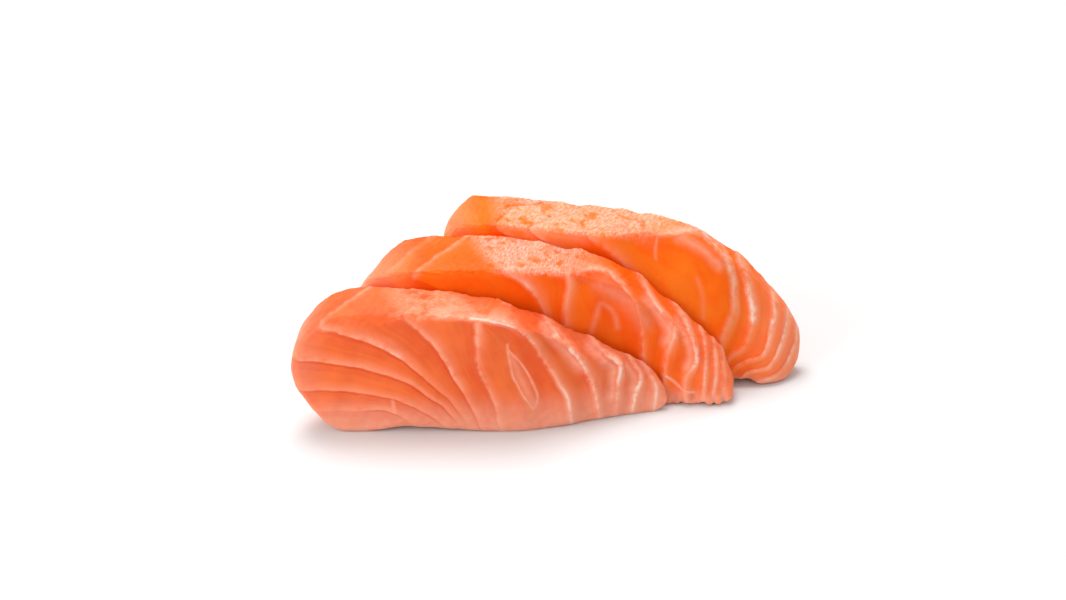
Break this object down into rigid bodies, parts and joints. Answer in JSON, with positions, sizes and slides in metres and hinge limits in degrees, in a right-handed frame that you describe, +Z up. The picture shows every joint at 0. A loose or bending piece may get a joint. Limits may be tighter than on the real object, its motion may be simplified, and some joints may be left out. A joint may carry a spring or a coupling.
{
  "type": "salmon sashimi",
  "caption": "Thick slices of raw salmon fillet, cut side by side from one block and still leaning together in cutting order, resting on their long edges.",
  "frame": {"origin": "on the surface that the slices rest on, under the middle of their box", "axes": "+X along the slices towards their thin ends, +Y from the front slice to the back one, +Z up"},
  "size_m": [0.1094, 0.0431, 0.0352],
  "materials": {
    "salmon_front": "raw salmon flesh, pinkish orange, moist, with pale fat lines",
    "salmon_middle": "raw salmon flesh, deep orange, moist, with pale fat lines",
    "salmon_back": "raw salmon flesh, bright orange, moist, with pale fat lines"
  },
  "bodies": {
    "root": {"slice_front": "salmon_front", "slice_middle": "salmon_middle", "slice_back": "salmon_back"}
  },
  "joints": []
}
